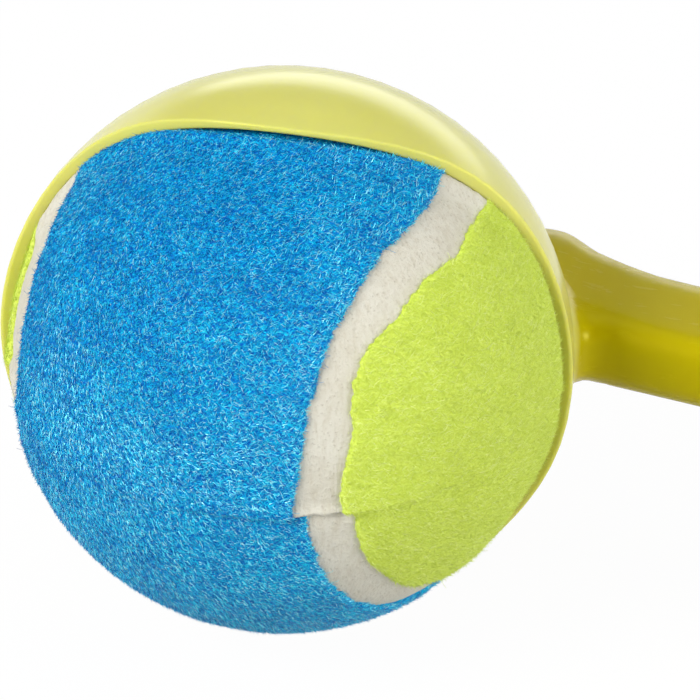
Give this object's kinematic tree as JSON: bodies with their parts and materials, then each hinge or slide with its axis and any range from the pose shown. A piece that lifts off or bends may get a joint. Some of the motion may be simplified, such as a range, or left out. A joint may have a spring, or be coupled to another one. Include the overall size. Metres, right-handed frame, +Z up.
{
  "type": "tennis ball launcher",
  "caption": "One-piece moulded plastic throwing arm with a round cup at one end and a finger-grip handle at the other, holding a two-colour felt tennis ball for dogs.",
  "frame": {"origin": "centre of the ball seat in the cup", "axes": "+X along the arm towards the handle, +Z up with the launcher lying on its side, and the cup's mouth faces -Y"},
  "size_m": [0.4994, 0.0875, 0.0688],
  "materials": {
    "launcher_plastic": "glossy moulded polypropylene, lime yellow",
    "core_rubber": "matte moulded rubber",
    "core_cement": "cured rubber cement",
    "felt_blue": "short needled felt, blue",
    "felt_lime": "short needled felt, fluorescent lime",
    "seam_rubber": "matte, finely pitted off-white seam rubber"
  },
  "bodies": {
    "launcher": {"launcher_arm": "launcher_plastic"},
    "ball": {"core_half_upper": "core_rubber", "core_half_lower": "core_rubber", "core_cement_ring": "core_cement", "felt_panel_blue": "felt_blue", "felt_panel_lime": "felt_lime", "seam_band": "seam_rubber"}
  },
  "joints": [
    {"name": "ball_release", "type": "slide", "parent": "launcher", "child": "ball", "axis": [0, -1, 0], "range_m": [0, 0.08]}
  ]
}
